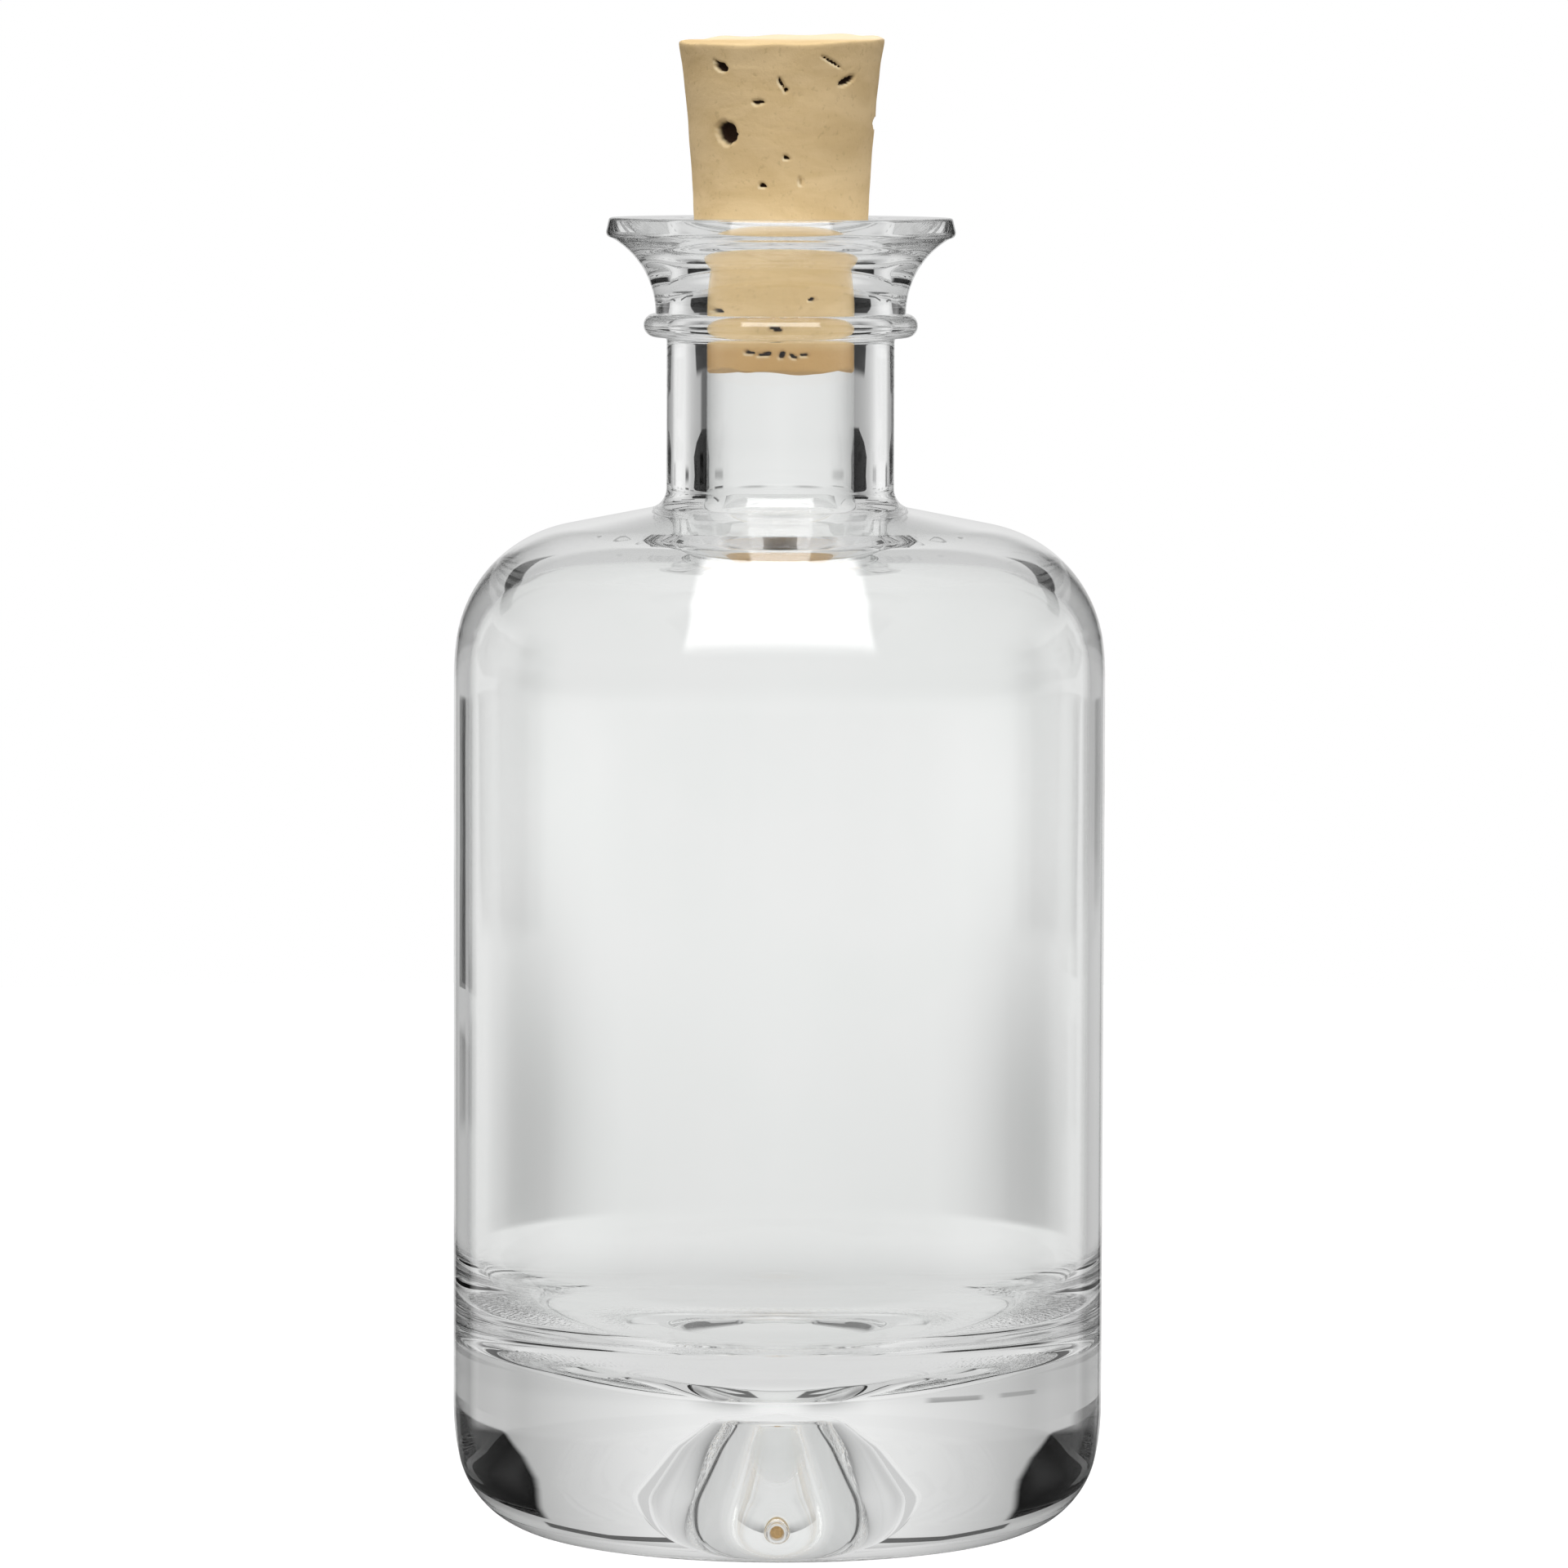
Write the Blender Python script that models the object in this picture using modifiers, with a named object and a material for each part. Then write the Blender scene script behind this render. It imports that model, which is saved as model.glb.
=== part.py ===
"""Apothecary bottle of clear glass, closed by a tapered natural cork.

The object is two pieces: the bottle, moulded and blown as one piece of glass, and the cork driven
into its mouth. Both are turned shapes about one vertical axis.

Metres, +Z up. The origin is on the axis, at the level of the surface that the bottle stands on.
"""
import math

import bpy

MM = 0.001

# Sides of the turned shapes.
BOTTLE_SIDES = 48
CORK_SIDES = 36

# Body, outside. Slopes and tapers are in degrees.
BODY_RADIUS = 26.05 * MM
NECK_ROOT_HEIGHT = 82.3 * MM
SHOULDER_SLOPE = 11.0
SHOULDER_RADIUS = 10.8 * MM
HEEL_TAPER = 12.0
HEEL_TAPER_RADIUS = 20.0 * MM
HEEL_RADIUS = 7.5 * MM
FOOT_WIDTH = 1.4 * MM

# The cone pushed up into the solid base from below: a low slope up from the foot ring, the steep
# cone, and a nearly flat crown.
PUNT_HEIGHT = 10.4 * MM
PUNT_ROOT_RADIUS = 11.0 * MM
PUNT_ROOT_HEIGHT = 2.0 * MM
PUNT_ROOT_FILLET = 4.0 * MM
PUNT_CROWN_RADIUS = 3.3 * MM
PUNT_CROWN_RISE = 0.4 * MM
PUNT_CROWN_ROUND = 1.5 * MM

# Cavity. Its floor is a bowl that turns up into the wall through a tighter arc.
BODY_WALL = 1.2 * MM
SHOULDER_WALL = 2.0 * MM
FLOOR_OVER_PUNT = 0.9 * MM
FLOOR_DEPTH = 11.9 * MM
INNER_HEEL_RADIUS = 9.5 * MM

# Neck, string ring and lip.
NECK_RADIUS = 9.1 * MM
NECK_LENGTH = 13.4 * MM
NECK_WALL = 3.2 * MM
NECK_FILLET = 1.6 * MM
BORE_FILLET = 3.0 * MM
RING_STANDOUT = 1.85 * MM
RING_HEIGHT = 1.9 * MM
RING_FILLET = 0.35 * MM
COVE_RADIUS = 6.9 * MM
LIP_STANDOUT = 4.85 * MM
LIP_FACE_HEIGHT = 1.65 * MM
LIP_DRAFT = 0.2 * MM
LIP_UNDER_ROUND = 0.5 * MM
LIP_TOP_ROUND = 0.25 * MM
MOUTH_ROUND = 2.6 * MM

# Cork, as it sits: free and tapered above the rim, squeezed to the mouth and bore below it.
CORK_EXPOSED = 14.4 * MM
CORK_INSERTED = 12.0 * MM
CORK_TOP_FLARE = 1.1 * MM
CORK_TAPER = 0.08
CORK_EDGE_ROUND = 0.3 * MM
CORK_RIM_GAP = 1.5 * MM
CORK_CLEARANCE = 0.3 * MM

# Radii and heights of the neck that follow from the sizes above, stacked from its root to the rim.
BORE_RADIUS = NECK_RADIUS - NECK_WALL
MOUTH_RADIUS = BORE_RADIUS + MOUTH_ROUND
THROAT_RADIUS = NECK_RADIUS + RING_STANDOUT - RING_HEIGHT / 2
LIP_RADIUS = NECK_RADIUS + LIP_STANDOUT
RING_BOTTOM = NECK_ROOT_HEIGHT + NECK_LENGTH
RING_TOP = RING_BOTTOM + RING_HEIGHT
COVE_REACH = LIP_RADIUS - LIP_UNDER_ROUND - THROAT_RADIUS
COVE_RISE = math.sqrt(COVE_RADIUS ** 2 - (COVE_RADIUS - COVE_REACH) ** 2)
RIM_HEIGHT = RING_TOP + COVE_RISE + LIP_FACE_HEIGHT
FLARE_HEIGHT = RIM_HEIGHT - MOUTH_ROUND


def arc(centre_radius, centre_height, radius, start, end, steps):
    """Points on an arc in the profile plane, in degrees: 0 points outwards and 90 points up."""
    points = []
    for step in range(steps + 1):
        angle = math.radians(start + (end - start) * step / steps)
        across = centre_radius + radius * math.cos(angle)
        up = centre_height + radius * math.sin(angle)
        points.append((across, up))
    return points


def rounded_corner(before, corner, after, radius, steps):
    """Arc that rounds the corner between two straight lines, tangent to both."""
    heading_in = math.degrees(math.atan2(corner[1] - before[1], corner[0] - before[0]))
    heading_out = math.degrees(math.atan2(after[1] - corner[1], after[0] - corner[0]))
    bend = heading_out - heading_in
    side = 90 if bend > 0 else -90
    middle = math.radians((heading_in + heading_out) / 2 + side)
    distance = radius / math.cos(math.radians(bend / 2))
    centre_radius = corner[0] + distance * math.cos(middle)
    centre_height = corner[1] + distance * math.sin(middle)
    return arc(centre_radius, centre_height, radius, heading_in - side, heading_out - side, steps)


def slope_height(radius, root_height):
    """Height of the sloping shoulder at a radius, from its height at the neck's outside."""
    return root_height - (radius - NECK_RADIUS) * math.tan(math.radians(SHOULDER_SLOPE))


def shoulder_arc(wall_radius, radius, root_height, start, end, steps):
    """Arc that joins an upright wall to the sloping shoulder above it, tangent to both."""
    slope = math.radians(SHOULDER_SLOPE)
    centre = wall_radius - radius
    touch = centre + radius * math.sin(slope)
    height = slope_height(touch, root_height) - radius * math.cos(slope)
    return arc(centre, height, radius, start, end, steps)


def root_arc(neck_radius, radius, root_height, start, end, steps):
    """Arc that joins the sloping shoulder to an upright neck or bore, tangent to both."""
    slope = math.radians(SHOULDER_SLOPE)
    centre = neck_radius + radius
    touch = centre - radius * math.sin(slope)
    height = slope_height(touch, root_height) + radius * math.cos(slope)
    return arc(centre, height, radius, start, end, steps)


def mouth_radius(height):
    """Radius of the opening at a height: the plain bore, then the rounding out to the rim."""
    rise = min(max(height - FLARE_HEIGHT, 0.0), MOUTH_ROUND)
    return MOUTH_RADIUS - math.sqrt(MOUTH_ROUND ** 2 - rise ** 2)


def cavity_profile():
    """Inside of the glass, from the middle of the floor up to the rim."""
    wall = BODY_RADIUS - BODY_WALL
    floor = PUNT_HEIGHT + FLOOR_OVER_PUNT
    heel = wall - INNER_HEEL_RADIUS
    spread = heel ** 2 + FLOOR_DEPTH ** 2 - INNER_HEEL_RADIUS ** 2
    bowl = spread / (2 * (FLOOR_DEPTH - INNER_HEEL_RADIUS))
    join = math.degrees(math.atan2(heel, bowl - FLOOR_DEPTH)) - 90
    points = [(0.0, floor)]
    points += arc(0.0, floor + bowl, bowl, -90, join, 6)[1:]
    points += arc(heel, floor + FLOOR_DEPTH, INNER_HEEL_RADIUS, join, 0, 5)[1:]

    inner_root = NECK_ROOT_HEIGHT - SHOULDER_WALL / math.cos(math.radians(SHOULDER_SLOPE))
    inner_shoulder = SHOULDER_RADIUS - BODY_WALL
    points += shoulder_arc(wall, inner_shoulder, inner_root, 0, 90 - SHOULDER_SLOPE, 8)
    points += root_arc(BORE_RADIUS, BORE_FILLET, inner_root, 270 - SHOULDER_SLOPE, 180, 5)
    points += arc(MOUTH_RADIUS, FLARE_HEIGHT, MOUTH_ROUND, 180, 90, 6)
    return points


def neck_profile():
    """Outside of the lip, cove and string ring, from the rim down to the top of the neck."""
    top_edge = LIP_RADIUS - LIP_DRAFT - LIP_TOP_ROUND
    under_edge = LIP_RADIUS - LIP_UNDER_ROUND
    under_height = RING_TOP + COVE_RISE + LIP_UNDER_ROUND
    points = arc(top_edge, RIM_HEIGHT - LIP_TOP_ROUND, LIP_TOP_ROUND, 90, 10, 2)
    points += arc(under_edge, under_height, LIP_UNDER_ROUND, 10, -50, 3)

    cove_end = math.degrees(math.asin(COVE_RISE / COVE_RADIUS))
    points += arc(THROAT_RADIUS + COVE_RADIUS, RING_TOP, COVE_RADIUS, 180 - cove_end, 180, 6)

    bead = RING_HEIGHT / 2
    points += arc(THROAT_RADIUS, RING_BOTTOM + bead, bead, 75, -90, 6)
    points += arc(NECK_RADIUS + RING_FILLET, RING_BOTTOM - RING_FILLET, RING_FILLET, 90, 180, 2)
    return points


def body_profile():
    """Outside of the glass, from the neck's root down to the foot and in to the top of the punt."""
    points = root_arc(NECK_RADIUS, NECK_FILLET, NECK_ROOT_HEIGHT, 180, 270 - SHOULDER_SLOPE, 4)
    points += shoulder_arc(BODY_RADIUS, SHOULDER_RADIUS, NECK_ROOT_HEIGHT, 90 - SHOULDER_SLOPE, 0, 8)

    taper = math.radians(HEEL_TAPER)
    reach = HEEL_TAPER_RADIUS - HEEL_RADIUS
    taper_centre = BODY_RADIUS - HEEL_TAPER_RADIUS
    taper_height = HEEL_RADIUS + reach * math.sin(taper)
    foot_radius = taper_centre + reach * math.cos(taper)
    points += arc(taper_centre, taper_height, HEEL_TAPER_RADIUS, 0, -HEEL_TAPER, 3)
    points += arc(foot_radius, HEEL_RADIUS, HEEL_RADIUS, -HEEL_TAPER, -90, 6)[1:]

    foot = (foot_radius - FOOT_WIDTH, 0.0)
    root = (PUNT_ROOT_RADIUS, PUNT_ROOT_HEIGHT)
    crown = (PUNT_CROWN_RADIUS, PUNT_HEIGHT - PUNT_CROWN_RISE)
    top = (0.0, PUNT_HEIGHT)
    points.append(foot)
    points += rounded_corner(foot, root, crown, PUNT_ROOT_FILLET, 3)
    points += rounded_corner(root, crown, top, PUNT_CROWN_ROUND, 3)
    points.append(top)
    return points


def cork_profile():
    """Outside of the cork, from the middle of its top down to the middle of its lower end."""
    waist = MOUTH_RADIUS - CORK_RIM_GAP
    top_radius = waist + CORK_TOP_FLARE
    top = RIM_HEIGHT + CORK_EXPOSED
    bottom = RIM_HEIGHT - CORK_INSERTED
    shank = BORE_RADIUS - CORK_CLEARANCE
    points = [(0.0, top)]
    points += arc(top_radius - CORK_EDGE_ROUND, top - CORK_EDGE_ROUND, CORK_EDGE_ROUND, 90, 0, 3)
    free_steps = 5
    for step in range(1, free_steps + 1):
        share = 1 - step / free_steps
        points.append((waist + CORK_TOP_FLARE * share ** 1.5, RIM_HEIGHT + CORK_EXPOSED * share))
    mouth_steps = 6
    for step in range(1, mouth_steps + 1):
        depth = MOUTH_ROUND * step / mouth_steps
        squeezed = mouth_radius(RIM_HEIGHT - depth) - CORK_CLEARANCE
        points.append((min(waist - CORK_TAPER * depth, squeezed), RIM_HEIGHT - depth))
    points += arc(shank - CORK_EDGE_ROUND, bottom + CORK_EDGE_ROUND, CORK_EDGE_ROUND, 0, -90, 3)
    points.append((0.0, bottom))
    return points


def make_material(name, colour, roughness, transmission, refraction):
    """A Principled BSDF with the piece's own colour and finish."""
    material = bpy.data.materials.new(name)
    material.use_nodes = True
    shader = material.node_tree.nodes["Principled BSDF"]
    shader.inputs["Base Color"].default_value = (*colour, 1.0)
    shader.inputs["Roughness"].default_value = roughness
    shader.inputs["Metallic"].default_value = 0.0
    shader.inputs["Transmission Weight"].default_value = transmission
    shader.inputs["IOR"].default_value = refraction
    material.diffuse_color = (*colour, 1.0)
    return material


def turn(name, profile, sides, material, collection):
    """A solid turned about the Z axis from its profile of radii and heights."""
    mesh = bpy.data.meshes.new(name)
    vertices = [(radius, 0.0, height) for radius, height in profile]
    edges = [(index, index + 1) for index in range(len(profile) - 1)]
    mesh.from_pydata(vertices, edges, [])
    mesh.materials.append(material)
    piece = bpy.data.objects.new(name, mesh)
    collection.objects.link(piece)
    screw = piece.modifiers.new("Turn", "SCREW")
    screw.axis = "Z"
    screw.angle = math.tau
    screw.steps = sides
    screw.render_steps = sides
    screw.use_merge_vertices = True
    screw.merge_threshold = 0.005 * MM
    screw.use_smooth_shade = True
    normals = piece.modifiers.new("Flat faces stay flat", "WEIGHTED_NORMAL")
    normals.weight = 80
    return piece


def build():
    """Clear the scene, then make the two pieces."""
    for old in list(bpy.data.objects):
        bpy.data.objects.remove(old, do_unlink=True)

    collection = bpy.data.collections.new("apothecary_bottle")
    bpy.context.scene.collection.children.link(collection)

    glass = make_material("clear_glass", (0.95, 0.96, 0.955), 0.02, 1.0, 1.52)
    cork = make_material("natural_cork", (0.58, 0.42, 0.24), 0.85, 0.0, 1.45)

    bottle_profile = cavity_profile() + neck_profile() + body_profile()
    turn("glass_bottle", bottle_profile, BOTTLE_SIDES, glass, collection)
    turn("cork_stopper", cork_profile(), CORK_SIDES, cork, collection)


build()
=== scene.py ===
"""Apothecary bottle with cork: the looks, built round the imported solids."""
import math

import bmesh
import bpy
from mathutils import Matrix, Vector, noise


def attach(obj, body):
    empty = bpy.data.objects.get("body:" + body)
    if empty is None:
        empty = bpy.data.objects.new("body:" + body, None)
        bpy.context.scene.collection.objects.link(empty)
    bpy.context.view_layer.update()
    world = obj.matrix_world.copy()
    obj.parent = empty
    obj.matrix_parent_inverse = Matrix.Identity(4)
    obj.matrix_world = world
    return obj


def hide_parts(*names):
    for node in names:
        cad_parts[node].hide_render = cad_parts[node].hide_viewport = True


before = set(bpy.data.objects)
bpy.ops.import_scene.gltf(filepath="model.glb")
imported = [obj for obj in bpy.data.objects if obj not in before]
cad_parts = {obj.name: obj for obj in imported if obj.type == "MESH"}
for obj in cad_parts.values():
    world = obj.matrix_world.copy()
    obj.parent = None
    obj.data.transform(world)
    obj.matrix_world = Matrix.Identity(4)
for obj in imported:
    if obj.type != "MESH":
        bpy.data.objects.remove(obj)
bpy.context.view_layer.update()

# The camera. It stands as the photographer did: a long lens three quarters of a metre away, level with
# the top of the cork, and looking down a little. The small roll lets the bottle lean as it does there.
PHOTO_SIDE = 1920
FOCAL_PIXELS = 11605
LOOKING_DOWN = 4.386
lens = bpy.data.cameras.new("portrait_lens")
lens.sensor_width = 36.0
lens.lens = FOCAL_PIXELS / PHOTO_SIDE * lens.sensor_width
lens.clip_start = 0.01
lens.shift_x = 3.0 / PHOTO_SIDE
camera = bpy.data.objects.new("camera", lens)
bpy.context.scene.collection.objects.link(camera)
camera.location = (0.0, -0.757, 0.118)
camera.rotation_euler = (math.radians(90 - LOOKING_DOWN), math.radians(-0.18), 0.0)
bpy.context.scene.camera = camera

# The bottle. It is one piece of clear glass, blown in a mould: a thin wall on a thick base, with a cone
# pushed up into the base from below. The string ring, cove and flared lip are laid on and tooled while
# the glass is hot. It stands on the narrow ring round the cone.
MM = 0.001
GLASS_STEPS = 224
GLASS_CREASE = 32
BODY_RADIUS = 26.05 * MM
NECK_ROOT_HEIGHT = 82.3 * MM
SHOULDER_SLOPE = math.radians(11.0)
SHOULDER_RADIUS = 10.8 * MM
HEEL_TAPER = math.radians(12.0)
HEEL_TAPER_RADIUS = 20.0 * MM
HEEL_RADIUS = 7.5 * MM
FOOT_WIDTH = 1.4 * MM
PUNT_HEIGHT = 10.4 * MM
PUNT_ROOT = (11.0 * MM, 2.0 * MM)
PUNT_ROOT_FILLET = 4.0 * MM
PUNT_CROWN = (3.3 * MM, 10.0 * MM)
PUNT_CROWN_ROUND = 1.5 * MM
BODY_WALL = 1.2 * MM
SHOULDER_WALL = 2.0 * MM
SHOULDER_EASE = 0.25
FLOOR_OVER_PUNT = 0.9 * MM
FLOOR_DEPTH = 11.9 * MM
INNER_HEEL_RADIUS = 9.5 * MM
NECK_RADIUS = 9.1 * MM
NECK_LENGTH = 13.4 * MM
NECK_WALL = 3.2 * MM
NECK_FILLET = 1.6 * MM
BORE_FILLET = 3.0 * MM
RING_STANDOUT = 1.85 * MM
RING_HEIGHT = 1.9 * MM
RING_FILLET = 0.35 * MM
COVE_RADIUS = 6.9 * MM
LIP_STANDOUT = 4.85 * MM
LIP_FACE_HEIGHT = 1.65 * MM
LIP_DRAFT = 0.2 * MM
LIP_UNDER_ROUND = 0.5 * MM
LIP_TOP_ROUND = 0.25 * MM
MOUTH_ROUND = 2.6 * MM

BORE_RADIUS = NECK_RADIUS - NECK_WALL
MOUTH_RADIUS = BORE_RADIUS + MOUTH_ROUND
THROAT_RADIUS = NECK_RADIUS + RING_STANDOUT - RING_HEIGHT / 2
LIP_RADIUS = NECK_RADIUS + LIP_STANDOUT
RING_BOTTOM = NECK_ROOT_HEIGHT + NECK_LENGTH
RING_TOP = RING_BOTTOM + RING_HEIGHT
COVE_REACH = LIP_RADIUS - LIP_UNDER_ROUND - THROAT_RADIUS
COVE_RISE = math.sqrt(COVE_RADIUS ** 2 - (COVE_RADIUS - COVE_REACH) ** 2)
RIM_HEIGHT = RING_TOP + COVE_RISE + LIP_FACE_HEIGHT


def arc(across, up, radius, start, end, steps):
    """Points on an arc in the profile plane, in degrees: 0 points outwards and 90 points up."""
    turns = [math.radians(start + (end - start) * step / steps) for step in range(steps + 1)]
    return [(across + radius * math.cos(turn), up + radius * math.sin(turn)) for turn in turns]


def straight(start, end, steps):
    """Points between two others of the profile, without its ends."""
    shares = [step / steps for step in range(1, steps)]
    return [tuple(a + (b - a) * share for a, b in zip(start, end)) for share in shares]


def rounded(before, corner, after, radius, steps):
    """The arc that rounds a corner of the profile between two straight lines."""
    heading_in = math.degrees(math.atan2(corner[1] - before[1], corner[0] - before[0]))
    heading_out = math.degrees(math.atan2(after[1] - corner[1], after[0] - corner[0]))
    side = 90 if heading_out > heading_in else -90
    middle = math.radians((heading_in + heading_out) / 2 + side)
    distance = radius / math.cos(math.radians((heading_out - heading_in) / 2))
    centre = (corner[0] + distance * math.cos(middle), corner[1] + distance * math.sin(middle))
    return arc(*centre, radius, heading_in - side, heading_out - side, steps)


def shoulder(wall_radius, radius, root_height):
    """The upright wall's turn into the sloping shoulder: it bends in slowly, then on a plain arc."""
    centre = wall_radius - radius
    touch = centre + radius * math.sin(SHOULDER_SLOPE)
    level = root_height - (touch - NECK_RADIUS) * math.tan(SHOULDER_SLOPE) - radius * math.cos(SHOULDER_SLOPE)
    length = 2 * radius * SHOULDER_EASE
    shares = [step / 16 for step in range(16)]
    line = [(wall_radius - length ** 2 * share ** 3 / (6 * radius), level + length * (share - 0.5))
            for share in shares]
    set_in = radius * SHOULDER_EASE ** 2 / 6
    eased, sloped = math.degrees(SHOULDER_EASE), math.degrees(SHOULDER_SLOPE)
    return line + arc(centre - set_in, level, radius, eased, 90 - sloped, 24)


def root(neck_radius, radius, root_height, start, end, steps):
    """The arc that joins the sloping shoulder to an upright neck or bore."""
    centre = neck_radius + radius
    touch = centre - radius * math.sin(SHOULDER_SLOPE)
    height = root_height - (touch - NECK_RADIUS) * math.tan(SHOULDER_SLOPE)
    return arc(centre, height + radius * math.cos(SHOULDER_SLOPE), radius, start, end, steps)


def cavity_line():
    """Inside of the glass, from the middle of the floor up to the rim."""
    wall = BODY_RADIUS - BODY_WALL
    floor = PUNT_HEIGHT + FLOOR_OVER_PUNT
    heel = wall - INNER_HEEL_RADIUS
    spread = heel ** 2 + FLOOR_DEPTH ** 2 - INNER_HEEL_RADIUS ** 2
    bowl = spread / (2 * (FLOOR_DEPTH - INNER_HEEL_RADIUS))
    join = math.degrees(math.atan2(heel, bowl - FLOOR_DEPTH)) - 90
    line = [(0.0, floor)] + arc(0.0, floor + bowl, bowl, -90, join, 24)[1:]
    line += arc(heel, floor + FLOOR_DEPTH, INNER_HEEL_RADIUS, join, 0, 28)[1:]
    slope = math.degrees(SHOULDER_SLOPE)
    inner_root = NECK_ROOT_HEIGHT - SHOULDER_WALL / math.cos(SHOULDER_SLOPE)
    turn_in = shoulder(wall, SHOULDER_RADIUS - BODY_WALL, inner_root)
    turn_up = root(BORE_RADIUS, BORE_FILLET, inner_root, 270 - slope, 180, 16)
    mouth = arc(MOUTH_RADIUS, RIM_HEIGHT - MOUTH_ROUND, MOUTH_ROUND, 180, 90, 16)
    line += straight(line[-1], turn_in[0], 30) + turn_in
    line += straight(turn_in[-1], turn_up[0], 6) + turn_up
    line += straight(turn_up[-1], mouth[0], 14) + mouth
    return line


def finish_line():
    """Outside of the lip, cove and string ring, from the rim down to the top of the neck."""
    top_edge = LIP_RADIUS - LIP_DRAFT - LIP_TOP_ROUND
    line = arc(top_edge, RIM_HEIGHT - LIP_TOP_ROUND, LIP_TOP_ROUND, 90, 10, 6)
    under_height = RING_TOP + COVE_RISE + LIP_UNDER_ROUND
    line += arc(LIP_RADIUS - LIP_UNDER_ROUND, under_height, LIP_UNDER_ROUND, 10, -50, 8)
    cove_end = math.degrees(math.asin(COVE_RISE / COVE_RADIUS))
    line += arc(THROAT_RADIUS + COVE_RADIUS, RING_TOP, COVE_RADIUS, 180 - cove_end, 180, 20)
    bead = RING_HEIGHT / 2
    line += arc(THROAT_RADIUS, RING_BOTTOM + bead, bead, 75, -90, 18)
    line += arc(NECK_RADIUS + RING_FILLET, RING_BOTTOM - RING_FILLET, RING_FILLET, 90, 180, 6)
    return line


def body_line():
    """Outside of the glass, from the neck's root down to the foot and in to the top of the punt."""
    slope = math.degrees(SHOULDER_SLOPE)
    line = root(NECK_RADIUS, NECK_FILLET, NECK_ROOT_HEIGHT, 180, 270 - slope, 12)
    turn_out = shoulder(BODY_RADIUS, SHOULDER_RADIUS, NECK_ROOT_HEIGHT)[::-1]
    line += straight(line[-1], turn_out[0], 6) + turn_out
    reach = HEEL_TAPER_RADIUS - HEEL_RADIUS
    taper_centre = BODY_RADIUS - HEEL_TAPER_RADIUS
    taper_height = HEEL_RADIUS + reach * math.sin(HEEL_TAPER)
    foot_radius = taper_centre + reach * math.cos(HEEL_TAPER)
    taper = math.degrees(HEEL_TAPER)
    turn_down = arc(taper_centre, taper_height, HEEL_TAPER_RADIUS, 0, -taper, 10)
    line += straight(line[-1], turn_down[0], 30) + turn_down
    line += arc(foot_radius, HEEL_RADIUS, HEEL_RADIUS, -taper, -90, 24)[1:]
    foot = (foot_radius - FOOT_WIDTH, 0.0)
    top = (0.0, PUNT_HEIGHT)
    turn_up = rounded(foot, PUNT_ROOT, PUNT_CROWN, PUNT_ROOT_FILLET, 10)
    turn_flat = rounded(PUNT_ROOT, PUNT_CROWN, top, PUNT_CROWN_ROUND, 10)
    line += [foot] + straight(foot, turn_up[0], 8) + turn_up
    line += straight(turn_up[-1], turn_flat[0], 14) + turn_flat + straight(turn_flat[-1], top, 6) + [top]
    return line


def spun(line, steps):
    """A closed solid turned about the Z axis from its line of radii and heights, as a bmesh."""
    solid = bmesh.new()
    verts = [solid.verts.new((across, 0.0, up)) for across, up in line]
    edges = [solid.edges.new(pair) for pair in zip(verts, verts[1:])]
    bmesh.ops.spin(solid, geom=verts + edges, axis=(0, 0, 1), cent=(0, 0, 0), dvec=(0, 0, 0),
                   angle=math.tau, steps=steps, use_merge=True, use_duplicate=False)
    bmesh.ops.remove_doubles(solid, verts=solid.verts, dist=0.0005 * MM)
    bmesh.ops.recalc_face_normals(solid, faces=solid.faces)
    return solid


def piece_from(name, solid, material, crease):
    """The finished object of a bmesh, smooth but for edges that turn by more than the crease."""
    for face in solid.faces:
        face.smooth = True
    for edge in solid.edges:
        edge.smooth = edge.calc_face_angle(0.0) < math.radians(crease)
    mesh = bpy.data.meshes.new(name)
    solid.to_mesh(mesh)
    solid.free()
    mesh.materials.append(material)
    piece = bpy.data.objects.new(name, mesh)
    bpy.context.scene.collection.objects.link(piece)
    return piece


def sums(tree, operation, *values):
    """A Math node of a node tree, fed with sockets or numbers, and its result."""
    node = tree.nodes.new("ShaderNodeMath")
    node.operation = operation
    for slot, value in zip(node.inputs, values):
        if isinstance(value, (int, float)):
            slot.default_value = value
        else:
            tree.links.new(value, slot)
    return node.outputs[0]


def ramp(tree, value, low, high, out_low=0.0, out_high=1.0, smooth=True):
    """A value mapped from one range to another, and held at its ends."""
    node = tree.nodes.new("ShaderNodeMapRange")
    node.interpolation_type = "SMOOTHSTEP" if smooth else "LINEAR"
    node.inputs["From Min"].default_value = low
    node.inputs["From Max"].default_value = high
    node.inputs["To Min"].default_value = out_low
    node.inputs["To Max"].default_value = out_high
    tree.links.new(value, node.inputs["Value"])
    return node.outputs["Result"]


def blend(tree, share, first, second):
    """Two colours mixed by a share; each is a socket or a colour."""
    node = tree.nodes.new("ShaderNodeMix")
    node.data_type = "RGBA"
    tree.links.new(share, node.inputs["Factor"])
    for index, colour in ((6, first), (7, second)):
        if isinstance(colour, tuple):
            node.inputs[index].default_value = (*colour, 1.0)
        else:
            tree.links.new(colour, node.inputs[index])
    return node.outputs[2]


def grain(tree, place, scale, detail=2.0, roughness=0.5, distortion=0.0):
    """Noise at a scale in cells for each metre, read at a place."""
    node = tree.nodes.new("ShaderNodeTexNoise")
    node.inputs["Scale"].default_value = scale
    node.inputs["Detail"].default_value = detail
    node.inputs["Roughness"].default_value = roughness
    node.inputs["Distortion"].default_value = distortion
    tree.links.new(place, node.inputs["Vector"])
    return node.outputs["Fac"]


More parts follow.
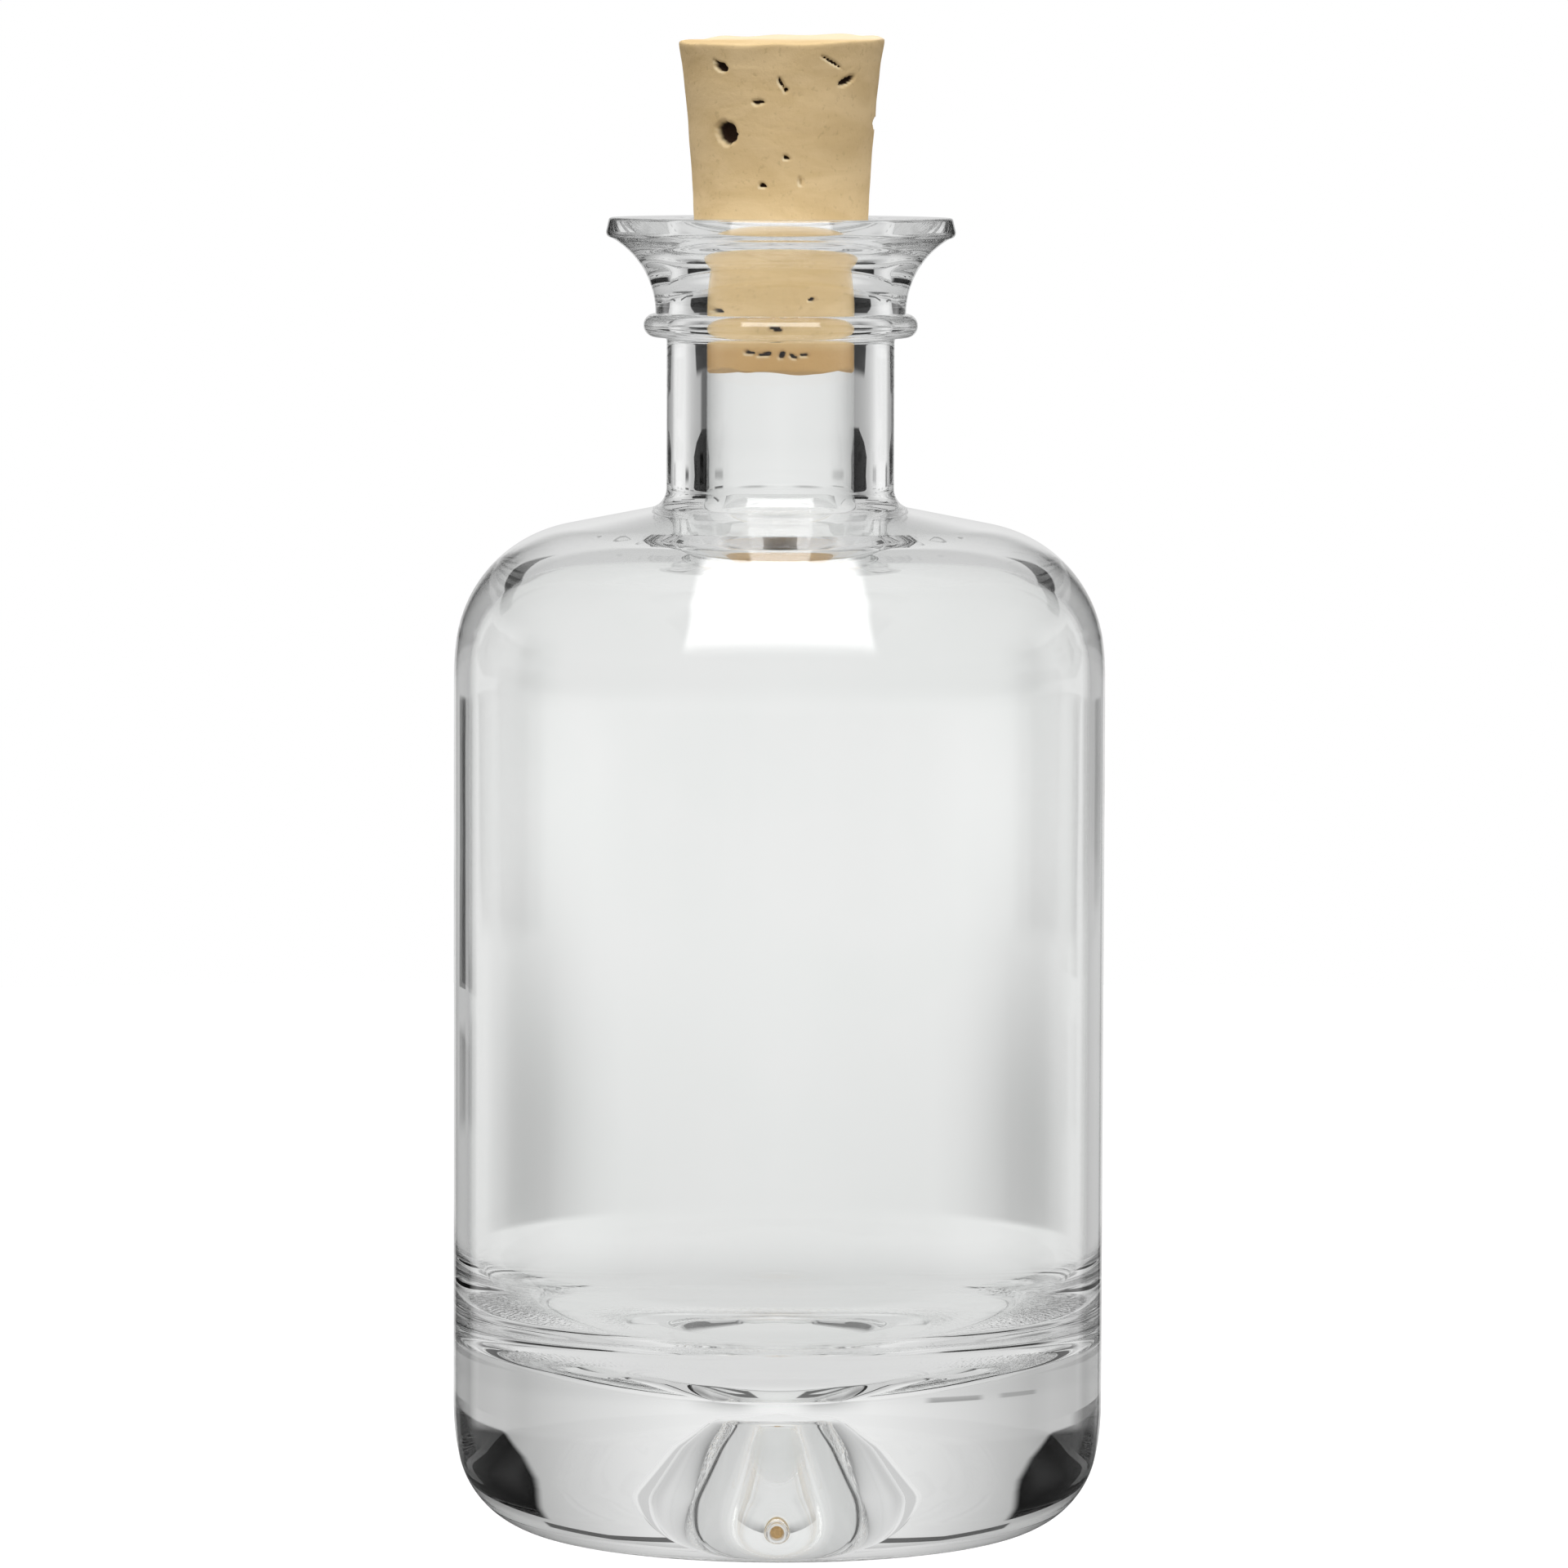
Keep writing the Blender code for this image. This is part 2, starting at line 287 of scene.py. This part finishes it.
def bump(tree, height, distance, normal=None):
    """A Bump node of a height map, with its depth in metres."""
    node = tree.nodes.new("ShaderNodeBump")
    node.inputs["Strength"].default_value = 1.0
    node.inputs["Distance"].default_value = distance
    tree.links.new(height, node.inputs["Height"])
    if normal is not None:
        tree.links.new(normal, node.inputs["Normal"])
    return node.outputs["Normal"]


GLASS_IOR = 1.52
GLASS_TINTS = ((0.985, 0.99, 0.986), (0.975, 0.984, 0.978))
CORD_GRAIN = 90.0
SKIN_WAVES = (120.0, 0.006 * MM)
FOOT_STIPPLE = (1800.0, 0.15 * MM)
flint = bpy.data.materials.new("clear_flint_glass")
flint.use_nodes = True
nodes = flint.node_tree
shader = nodes.nodes["Principled BSDF"]
shader.inputs["Transmission Weight"].default_value = 1.0
shader.inputs["IOR"].default_value = GLASS_IOR
shader.inputs["Roughness"].default_value = 0.0
place = nodes.nodes.new("ShaderNodeTexCoord").outputs["Object"]
heights = nodes.nodes.new("ShaderNodeSeparateXYZ")
nodes.links.new(place, heights.inputs[0])
cord = grain(nodes, place, CORD_GRAIN, 3.0, 0.5, 0.4)
tint = blend(nodes, ramp(nodes, cord, 0.35, 0.65), *GLASS_TINTS)
nodes.links.new(tint, shader.inputs["Base Color"])
foot = ramp(nodes, heights.outputs["Z"], 0.2 * MM, 0.6 * MM, 1.0, 0.0)
stipple = sums(nodes, "MULTIPLY", foot, grain(nodes, place, FOOT_STIPPLE[0], 1.0))
skin = bump(nodes, grain(nodes, place, SKIN_WAVES[0], 1.0), SKIN_WAVES[1])
nodes.links.new(bump(nodes, stipple, FOOT_STIPPLE[1], skin), shader.inputs["Normal"])

glass = spun(cavity_line() + finish_line() + body_line(), GLASS_STEPS)
bottle = piece_from("bottle_glass", glass, flint, GLASS_CREASE)
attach(bottle, "bottle")
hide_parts("glass_bottle")

# The stopper. It is punched from natural cork bark and tapered on a grinding wheel, so the pores of the bark
# run across it and open as dark pits, whose near-black inside is partly painted shade. It is driven into the
# mouth, where it is squeezed to the bore.
CORK_STEPS = 320
CORK_CREASE = 60
CORK_TOP = RIM_HEIGHT + 14.4 * MM
CORK_BOTTOM = RIM_HEIGHT - 12.0 * MM
CORK_CLEARANCE = 0.02 * MM
CORK_SHANK = BORE_RADIUS - CORK_CLEARANCE
CORK_EDGE = 0.22 * MM
CORK_TOP_TILT = (0.024, 0.045)
# The side above the glass, as heights and radii in millimetres. It narrows where it enters the mouth.
FREE_SIDE = [(119.2, 8.16), (117.6, 7.90), (116.05, 7.74), (114.5, 7.58), (112.9, 7.45), (111.4, 7.35),
             (110.0, 7.22), (108.8, 7.12), (107.2, 7.03), (105.7, 6.98), (104.9, 6.93), (104.6, 6.77),
             (104.2, 6.38), (103.6, 6.03), (103.0, 5.89), (102.4, 5.86)]


def side_radius(height):
    """Radius of the cork at a height, from its tapered top down to the squeezed shank."""
    if height >= FREE_SIDE[0][0] * MM:
        return FREE_SIDE[0][1] * MM
    for (high, wide), (low, narrow) in zip(FREE_SIDE, FREE_SIDE[1:]):
        if height >= low * MM:
            share = (height - low * MM) / ((high - low) * MM)
            return (narrow + (wide - narrow) * share) * MM
    return CORK_SHANK


def cork_line():
    """Outside of the cork, from the middle of its top down to the middle of its lower end."""
    edge = side_radius(CORK_TOP) - CORK_EDGE
    line = [(edge * step / 24, CORK_TOP) for step in range(24)]
    line += arc(edge, CORK_TOP - CORK_EDGE, CORK_EDGE, 90, 0, 5)
    height = CORK_TOP - CORK_EDGE
    while height > CORK_BOTTOM + 2 * CORK_EDGE:
        height -= 0.17 * MM
        line.append((side_radius(height), height))
    line += arc(CORK_SHANK - CORK_EDGE, CORK_BOTTOM + CORK_EDGE, CORK_EDGE, 0, -90, 4)
    line += [((CORK_SHANK - CORK_EDGE) * (1 - step / 14), CORK_BOTTOM) for step in range(1, 15)]
    return line


PIT_REACH = 2.0
# Each pit: degrees round from the front, height, half width and half height in millimetres, its lean
# in degrees, its depth in millimetres, and how dark it is inside, which is the pore's own colour with painted
# shade.
PITS = [
    (-37.5, 117.35, 0.60, 0.40, -25, 0.60, 1.0), (-40.0, 117.72, 0.42, 0.16, -50, 0.45, 0.9),
    (30.6, 117.78, 1.05, 0.11, -31, 0.35, 1.0), (42.0, 116.18, 0.85, 0.24, 22, 0.50, 1.0),
    (-0.2, 116.00, 0.45, 0.11, -62, 0.45, 1.0), (2.6, 115.47, 0.19, 0.17, 0, 0.55, 1.0),
    (-14.1, 114.46, 0.47, 0.17, 0, 0.50, 1.0), (-36.2, 112.02, 0.96, 0.84, -30, 0.85, 1.0),
    (3.3, 110.09, 0.27, 0.15, -12, 0.45, 1.0), (-11.8, 107.89, 0.30, 0.16, -5, 0.45, 1.0),
    (12.9, 108.22, 0.20, 0.32, 12, 0.24, 0.35), (90.0, 112.75, 1.4, 0.42, 0, 0.85, 0.25),
    (21.0, 99.24, 0.28, 0.13, 20, 0.40, 1.0), (-47.0, 98.10, 0.60, 0.20, -10, 0.50, 1.0),
    (-3.4, 96.50, 0.48, 0.17, 15, 0.50, 1.0), (-22.0, 94.78, 0.42, 0.13, -12, 0.45, 1.0),
    (-11.0, 94.62, 0.52, 0.15, 8, 0.45, 1.0), (1.0, 94.58, 0.34, 0.20, 60, 0.45, 1.0),
    (9.0, 94.46, 0.30, 0.13, -30, 0.45, 1.0), (17.0, 94.62, 0.36, 0.12, 10, 0.45, 1.0),
]


def held(value):
    """A value held between 0 and 1."""
    return min(max(value, 0.0), 1.0)


def pit_share(angle, height, across, pit):
    """How deep a point lies in a pit, from 0 outside to 1 in its middle."""
    turn, level, wide, tall, lean = pit[:5]
    up = height / MM - level
    along = math.radians((angle - turn + 180) % 360 - 180) * across / MM
    if abs(up) > PIT_REACH or abs(along) > PIT_REACH:
        return 0.0
    lean = math.radians(lean)
    side = (along * math.cos(lean) + up * math.sin(lean)) / wide
    rise = (up * math.cos(lean) - along * math.sin(lean)) / tall
    ragged = 0.18 * noise.noise(Vector((along * 3.1, up * 3.1, turn)))
    reach = math.hypot(side, rise) + ragged
    return held((1.18 - reach) / 0.42)


BACK_PITS = 34
BACK_PIT_HEIGHTS = (95.0, 118.5)
EVEN_ROUND = 0.618034
EVEN_UP = 0.7548777


def scatter_pits(count):
    """More pits on the sides of the cork that face away from the camera, spread without a pattern."""
    lowest, highest = BACK_PIT_HEIGHTS
    found = []
    for index in range(count):
        pick = [noise.noise(Vector((index * 7.31 + 0.5, axis * 3.77 + 0.5, 2.5))) for axis in range(4)]
        turn = 90 + 180 * ((index * EVEN_ROUND) % 1.0)
        level = lowest + (highest - lowest) * ((index * EVEN_UP) % 1.0)
        found.append((turn, level, 0.42 + 0.5 * pick[0], 0.2 + 0.22 * pick[1], 60 * pick[2],
                      0.55 + 0.5 * pick[3], 1.0))
    return found


# What wear adds to the turned shape: a rough skin above the glass, a tilted top that waves at its edge, and a
# ragged lower end; each pit also gets a pale lower edge, which is a painted highlight. Depths of pits and
# skin are in millimetres.
SIDE_MARGIN = 0.06 * MM
# How far the painted highlight at each pit's lower edge is shifted from the pit, in degrees round and in
# height.
PALE_EDGE_TURN = 1.0
PALE_EDGE_RISE = 0.16 * MM
SKIN_GRAIN = 420
SKIN_DEPTH = 0.05
FREE_ZONE = 2 * MM
TOP_ZONE = 3 * MM
TOP_SINK = 0.2 * MM
EDGE_START = 6 * MM
EDGE_ZONE = 2 * MM
EDGE_WAVES = 2.2
EDGE_WAVE_HEIGHT = 0.25 * MM
END_ZONE = 2 * MM
END_GRAIN = 380
END_RAGGED = 0.35 * MM

stopper_solid = spun(cork_line(), CORK_STEPS)
# Per vertex: the pits' dark, which is their own colour with painted shade, and the painted highlight on their
# lower edges.
pore_and_shade = stopper_solid.verts.layers.float.new("pore_and_shade")
rim = stopper_solid.verts.layers.float.new("rim")
all_pits = PITS + scatter_pits(BACK_PITS)
for vert in stopper_solid.verts:
    x, y, height = vert.co
    across = math.hypot(x, y)
    angle = math.degrees(math.atan2(x, -y))
    outward = Vector((x, y, 0.0)).normalized() if across > 0.0 else Vector((0.0, 0.0, 0.0))
    on_side = across > side_radius(height) - SIDE_MARGIN and CORK_BOTTOM + CORK_EDGE < height
    if on_side:
        sunk = dark = pale = 0.0
        for pit in all_pits:
            if abs(height / MM - pit[1]) > PIT_REACH:
                continue
            share = pit_share(angle, height, across, pit)
            sunk = max(sunk, share * pit[5])
            dark = max(dark, share * pit[6])
            # The pale lower edge of each pit is a painted highlight.
            pale = max(pale, pit_share(angle + PALE_EDGE_TURN, height + PALE_EDGE_RISE, across, pit))
        vert[pore_and_shade] = dark
        vert[rim] = max(pale - dark, 0.0)
        free = held((height - RIM_HEIGHT) / FREE_ZONE)
        rough = noise.noise(Vector((x, y, height)) * SKIN_GRAIN) * SKIN_DEPTH
        vert.co -= outward * (sunk - rough * free) * MM
    near_top = held((height - (CORK_TOP - TOP_ZONE)) / TOP_ZONE)
    lift = (x * CORK_TOP_TILT[0] + y * CORK_TOP_TILT[1] - TOP_SINK) * near_top
    near_edge = near_top * held((across - EDGE_START) / EDGE_ZONE)
    around = math.radians(angle)
    wave = noise.noise(Vector((math.sin(around) * EDGE_WAVES, math.cos(around) * EDGE_WAVES, 4.0)))
    lift += wave * EDGE_WAVE_HEIGHT * near_edge
    near_end = held((CORK_BOTTOM + END_ZONE - height) / END_ZONE)
    lift += noise.noise(Vector((x * END_GRAIN, y * END_GRAIN, 9.0))) * END_RAGGED * near_end
    vert.co.z += lift

BARK_DARK = (0.64, 0.462, 0.236)
BARK_LIGHT = (0.74, 0.552, 0.305)
SPECK_BROWN = (0.30, 0.19, 0.09)
LOWER_END_BROWN = (0.47, 0.27, 0.09)
# The cream of the top face is partly the cut cork's own colour and partly a painted highlight.
TOP_CREAM_AND_HIGHLIGHT = (0.87, 0.70, 0.50)
# The pale cream below is a painted highlight on each pit's lower edge.
PIT_EDGE_HIGHLIGHT = (0.86, 0.74, 0.50)
# The black below is the pores' own dark colour together with painted shade in their hollows.
PIT_BLACK = (0.022, 0.010, 0.005)
bark = bpy.data.materials.new("natural_cork_bark")
bark.use_nodes = True
nodes = bark.node_tree
shader = nodes.nodes["Principled BSDF"]
shader.inputs["Roughness"].default_value = 0.85
shader.inputs["Specular IOR Level"].default_value = 0.2
place = nodes.nodes.new("ShaderNodeTexCoord").outputs["Object"]
stretch = nodes.nodes.new("ShaderNodeMapping")
stretch.inputs["Scale"].default_value = (0.6, 0.6, 1.6)
nodes.links.new(place, stretch.inputs["Vector"])
bands = grain(nodes, stretch.outputs["Vector"], 260.0, 4.0, 0.55, 0.6)
fine = grain(nodes, place, 1900.0, 4.0, 0.6)
colour = blend(nodes, ramp(nodes, bands, 0.3, 0.7), BARK_DARK, BARK_LIGHT)
specks = ramp(nodes, fine, 0.30, 0.42, 1.0, 0.0)
colour = blend(nodes, sums(nodes, "MULTIPLY", specks, 0.22), colour, SPECK_BROWN)
heights = nodes.nodes.new("ShaderNodeSeparateXYZ")
nodes.links.new(place, heights.inputs[0])
# The cork turns darker and more orange-brown over its lowest millimetres, inside the neck.
lower_end_tint = ramp(nodes, heights.outputs["Z"], 94.6 * MM, 96.2 * MM, 0.75, 0.0)
colour = blend(nodes, lower_end_tint, colour, LOWER_END_BROWN)
# The top face is paler: partly the cut cork's own colour, partly a painted highlight of the light from above.
top_cream_and_highlight = ramp(nodes, heights.outputs["Z"], CORK_TOP - 0.35 * MM, CORK_TOP - 0.1 * MM, 0.0, 0.8)
colour = blend(nodes, top_cream_and_highlight, colour, TOP_CREAM_AND_HIGHLIGHT)
# Painted highlight: a cream lower edge to each pit.
lit_rim = nodes.nodes.new("ShaderNodeAttribute")
lit_rim.attribute_name = "rim"
colour = blend(nodes, sums(nodes, "MULTIPLY", lit_rim.outputs["Fac"], 0.7), colour, PIT_EDGE_HIGHLIGHT)
# The pits' near-black is partly the pores' own colour and partly painted shade in their hollows.
opened = nodes.nodes.new("ShaderNodeAttribute")
opened.attribute_name = "pore_and_shade"
colour = blend(nodes, ramp(nodes, opened.outputs["Fac"], 0.15, 0.75), colour, PIT_BLACK)
nodes.links.new(colour, shader.inputs["Base Color"])
swell = grain(nodes, stretch.outputs["Vector"], 330.0, 2.0, 0.5, 0.5)
nodes.links.new(bump(nodes, fine, 0.05 * MM, bump(nodes, swell, 0.10 * MM)), shader.inputs["Normal"])

stopper = piece_from("cork_bark", stopper_solid, bark, CORK_CREASE)
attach(stopper, "cork")
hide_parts("cork_stopper")

# The table and the light. A white table runs out into an even pale studio, with one soft box above and
# in front. What the glass bends or reflects sees the studio's pale panels with dark gaps between them.
TABLE_RADIUS = 0.45
TABLE_GREY = (0.3, 0.3, 0.3, 1)
TABLE_GLOW = 0.86
table_mesh = bpy.data.meshes.new("table")
table_solid = bmesh.new()
bmesh.ops.create_circle(table_solid, cap_ends=True, segments=128, radius=TABLE_RADIUS)
table_solid.to_mesh(table_mesh)
table_solid.free()
table = bpy.data.objects.new("table", table_mesh)
bpy.context.scene.collection.objects.link(table)
white = bpy.data.materials.new("white_table")
white.use_nodes = True
nodes = white.node_tree
nodes.nodes.clear()
rays = nodes.nodes.new("ShaderNodeLightPath").outputs
matte = nodes.nodes.new("ShaderNodeBsdfDiffuse")
matte.inputs["Color"].default_value = TABLE_GREY
glow = nodes.nodes.new("ShaderNodeEmission")
nodes.links.new(sums(nodes, "MULTIPLY", rays["Is Camera Ray"], TABLE_GLOW), glow.inputs["Strength"])
both = nodes.nodes.new("ShaderNodeAddShader")
nodes.links.new(matte.outputs[0], both.inputs[0])
nodes.links.new(glow.outputs[0], both.inputs[1])
open_air = nodes.nodes.new("ShaderNodeBsdfTransparent")
either = nodes.nodes.new("ShaderNodeMixShader")
through = sums(nodes, "MAXIMUM", rays["Is Glossy Ray"], rays["Is Transmission Ray"])
nodes.links.new(through, either.inputs["Fac"])
nodes.links.new(both.outputs[0], either.inputs[1])
nodes.links.new(open_air.outputs[0], either.inputs[2])
surface = nodes.nodes.new("ShaderNodeOutputMaterial")
nodes.links.new(either.outputs[0], surface.inputs["Surface"])
table_mesh.materials.append(white)

BOX_SIDE = 0.6
BOX_WATTS = 2.9
BOX_PLACE = (0.0, -0.21, 0.53)
BOX_AIM = (0.0, 0.0, 0.08)
box_light = bpy.data.lights.new("soft_box", "AREA")
box_light.shape = "SQUARE"
box_light.size = BOX_SIDE
box_light.energy = BOX_WATTS
soft_box = bpy.data.objects.new("soft_box", box_light)
bpy.context.scene.collection.objects.link(soft_box)
soft_box.location = BOX_PLACE
aim = Vector(BOX_AIM) - soft_box.location
soft_box.rotation_euler = aim.to_track_quat("-Z", "Y").to_euler()
soft_box.visible_glossy = False
soft_box.visible_transmission = False

studio = bpy.data.worlds.new("pale_studio")
bpy.context.scene.world = studio
studio.use_nodes = True
nodes = studio.node_tree
way = nodes.nodes.new("ShaderNodeSeparateXYZ")
nodes.links.new(nodes.nodes.new("ShaderNodeTexCoord").outputs["Generated"], way.inputs[0])
sideways = sums(nodes, "ABSOLUTE", way.outputs["X"])
turn = sums(nodes, "DEGREES", sums(nodes, "ARCTAN2", sideways, way.outputs["Y"]))
rise = sums(nodes, "DEGREES", sums(nodes, "ARCSINE", way.outputs["Z"]))
left = sums(nodes, "LESS_THAN", way.outputs["X"], 0.0)
right = sums(nodes, "SUBTRACT", 1.0, left)
HALF_ROUND = 180.0


def shades(value, top, stops):
    """A grey read off a list of places along a range from 0 to its top, each with its brightness."""
    node = nodes.nodes.new("ShaderNodeValToRGB")
    points = node.color_ramp.elements
    for place, grey in stops[1:-1]:
        points.new(place / top)
    for point, (place, grey) in zip(points, stops):
        point.position = place / top
        point.color = (grey, grey, grey, 1.0)
    nodes.links.new(sums(nodes, "DIVIDE", value, top), node.inputs["Fac"])
    return node.outputs["Color"]


def faded(share, first, second):
    """A brightness that runs from one value to another by a share."""
    return sums(nodes, "ADD", sums(nodes, "MULTIPLY", sums(nodes, "SUBTRACT", 1.0, share), first),
                sums(nodes, "MULTIPLY", share, second))


def between(value, low, high, soft):
    """A share of 1 within a range, falling to 0 over a soft margin outside each end."""
    return sums(nodes, "MULTIPLY", ramp(nodes, value, low - soft, low),
                ramp(nodes, value, high, high + soft, 1.0, 0.0))


def product(*values):
    """Several shares multiplied together."""
    result = values[0]
    for value in values[1:]:
        result = sums(nodes, "MULTIPLY", result, value)
    return result


def shaded(light, share):
    """A brightness with a share of it taken away."""
    return product(light, sums(nodes, "SUBTRACT", 1.0, share))


FAR_TABLE = 0.74
CARD_LEAN = 20.0
DEEPEST_BLACK = 0.002
# Seen through the glass: the far wall, brightest in the middle, and the ceiling over it. Here and
# below, a place is in degrees: round from behind the bottle (0) to the camera (180), or up from level.
wall = shades(turn, HALF_ROUND, [(0, 0.88), (16, 0.82), (26, 0.66), (36, 0.54), (44, 0.46), (50, 0.42),
                                 (58, 0.38), (66, 0.36), (80, 0.2), (90, 0.62), (180, 0.7)])
ceiling = shades(rise, 90.0, [(0, 0.62), (20, 0.62), (50, 0.66), (64, 0.9), (90, 0.9)])
high = faded(ramp(nodes, rise, 21.0, 27.0), wall, ceiling)
# The table top in front of the wall, darker close to the bottle and with a soft darker patch to each side of
# the middle; both are painted shadow of the bottle on the table.
table_top = shades(turn, HALF_ROUND, [(0, 0.94), (11, 0.88), (20, 0.75), (27, 0.66), (39, 0.5), (50, 0.4),
                                      (58, 0.3), (70, 0.5), (90, 0.8), (180, 0.8)])
table_top = product(table_top, ramp(nodes, rise, -7.2, -5.0, 0.93, 1.0))
rays = nodes.nodes.new("ShaderNodeLightPath").outputs
solid_glass_only = sums(nodes, "LESS_THAN", rays["Transmission Depth"], 2.5)
behind_camera = shades(turn, HALF_ROUND, [(0, 0.0), (110, 0.0), (125, 0.75), (180, 0.96)])
table_top = shaded(table_top, product(behind_camera, solid_glass_only))
low = faded(ramp(nodes, rise, -30.0, -14.0), FAR_TABLE, table_top)
# Painted shadow: the dark edges of the bottle's shadow on the table, as the glass shows them.
painted_shadow_patches = shades(turn, HALF_ROUND, [(0, 0.0), (2.2, 0.04), (4.4, 0.42), (6.5, 0.38), (11, 0.0), (180, 0.0)])
low = shaded(low, product(painted_shadow_patches, ramp(nodes, rise, -6.6, -4.4, 1.0, 0.0), ramp(nodes, rise, -10.0, -7.5)))
on_table = sums(nodes, "GREATER_THAN", rays["Transparent Depth"], 0.5)
off_table = sums(nodes, "SUBTRACT", 1.0, on_table)
seen = faded(product(off_table, ramp(nodes, rise, -4.6, -2.4)), low, high)
# Black cards at both sides: a leaning one above the level, one below it, and thin streaks nearer the
# middle. Light that crosses the table on its way to the base comes from none of the cards.
lean = shades(rise, 26.0, [(0, 0.0), (2, 0.25), (5, 0.5), (9, 0.65), (26, 0.65)])
edge = sums(nodes, "MULTIPLY_ADD", lean, CARD_LEAN, turn)
above = product(ramp(nodes, edge, 49.0, 52.0), between(rise, 1.8, 19.0, 0.6))
fall = product(rise, -1.0)
bulge = shades(fall, 6.0, [(0, 0.0), (1.5, 0.0), (2.2, 0.55), (3.0, 0.85), (4.7, 0.7), (6, 0.5)])
low_edge = sums(nodes, "MULTIPLY_ADD", bulge, CARD_LEAN, turn)
below = product(ramp(nodes, low_edge, 57.0, 59.0), between(rise, -5.2, -1.5, 0.2))
beside = product(ramp(nodes, turn, 54.0, 60.0), left, between(rise, -4.7, 19.0, 0.6), 0.75)
card = sums(nodes, "MAXIMUM", sums(nodes, "MAXIMUM", above, below), beside)
seen = shaded(seen, product(card, off_table, ramp(nodes, turn, 74.0, 80.0, 1.0, 0.0)))
clear_of_base = sums(nodes, "MAXIMUM", off_table, product(between(rise, -6.4, -5.9, 0.15), 0.7))
left_streak = product(left, clear_of_base, ramp(nodes, rise, -4.1, -3.4, 1.0, 0.0))
seen = shaded(seen, product(between(turn, 20.0, 27.0, 2.0), left_streak,
                            ramp(nodes, rise, -7.9, -5.2, 0.0, 0.9)))
seen = shaded(seen, product(between(turn, 33.0, 40.0, 2.0), left_streak,
                            between(rise, -7.0, -5.6, 0.4), 0.5))
seen = shaded(seen, product(between(turn, 17.0, 24.0, 3.0), right, off_table,
                            between(rise, -4.8, -3.9, 0.5), 0.4))
# A dark edge high on the wall, which the shoulders bend into a thin arc on each side.
edge_rise = ramp(nodes, turn, 12.0, 24.5, 19.4, 24.4, smooth=False)
over_edge = sums(nodes, "SUBTRACT", rise, edge_rise)
high_edge = product(between(over_edge, -1.8, 1.8, 0.5), between(turn, 11.0, 39.0, 1.5), 0.85)
seen = sums(nodes, "ADD", shaded(seen, high_edge), DEEPEST_BLACK)

# Mirrored by the glass: the soft box above and in front, and pale panels at the sides.
BOX_BRIGHTNESS = 7.5
PANEL_BRIGHTNESS = 1.3
RIGHT_PANEL_BRIGHTNESS = 0.25
DIM_ROOM = 0.02
arch = sums(nodes, "DEGREES",
            sums(nodes, "ARCTAN2", way.outputs["Z"], product(way.outputs["Y"], -1.0)))
half = shades(arch, HALF_ROUND, [(0, 0.56), (19, 0.56), (65, 0.42), (107, 0.22), (120, 0.14), (180, 0.1)])
across = ramp(nodes, sums(nodes, "SUBTRACT", sideways, half), -0.03, 0.02, 1.0, 0.0)
box = product(across, ramp(nodes, arch, 14.0, 34.0), ramp(nodes, arch, 112.0, 130.0, 1.0, 0.0),
              BOX_BRIGHTNESS)
level = product(ramp(nodes, rise, -10.5, -8.7), ramp(nodes, rise, 10.0, 20.0, 1.0, 0.0))
level = shaded(level, product(ramp(nodes, turn, 72.0, 80.0), ramp(nodes, rise, -3.6, -2.6)))
panels = shades(turn, HALF_ROUND, [(0, 0.54), (12, 0.54), (17, 0.0), (38, 0.0), (46, 1.0), (66, 1.0),
                                   (78, 0.38), (110, 0.3), (150, 0.08), (180, 0.04)])
mirrored = sums(nodes, "MULTIPLY_ADD", product(panels, level), PANEL_BRIGHTNESS, box)
right_panel = product(between(turn, 20.0, 38.0, 3.0), right, level, ramp(nodes, rise, -5.2, -4.3, 1.0, 0.0))
mirrored = sums(nodes, "MULTIPLY_ADD", right_panel, RIGHT_PANEL_BRIGHTNESS, mirrored)
mirrored = sums(nodes, "ADD", mirrored, DIM_ROOM)

# What lights the matt surfaces: an even glow from all sides, stronger on the cork inside the glass.
AMBIENT = 0.5
INSIDE_AMBIENT = 1.9
strength = faded(rays["Is Glossy Ray"], AMBIENT, mirrored)
seen = faded(sums(nodes, "GREATER_THAN", rays["Diffuse Depth"], 0.5), seen, INSIDE_AMBIENT)
strength = faded(rays["Is Transmission Ray"], strength, seen)
strength = sums(nodes, "MAXIMUM", strength, rays["Is Camera Ray"])
nodes.nodes["Background"].inputs["Color"].default_value = (1.0, 1.0, 1.0, 1.0)
nodes.links.new(strength, nodes.nodes["Background"].inputs["Strength"])

# Light may turn many times inside the thick base before it comes out.
LIGHT_TURNS = 24
scene = bpy.context.scene
scene.view_settings.view_transform = "Standard"
scene.cycles.max_bounces = LIGHT_TURNS
scene.cycles.glossy_bounces = LIGHT_TURNS
scene.cycles.transmission_bounces = LIGHT_TURNS

bpy.context.view_layer.update()
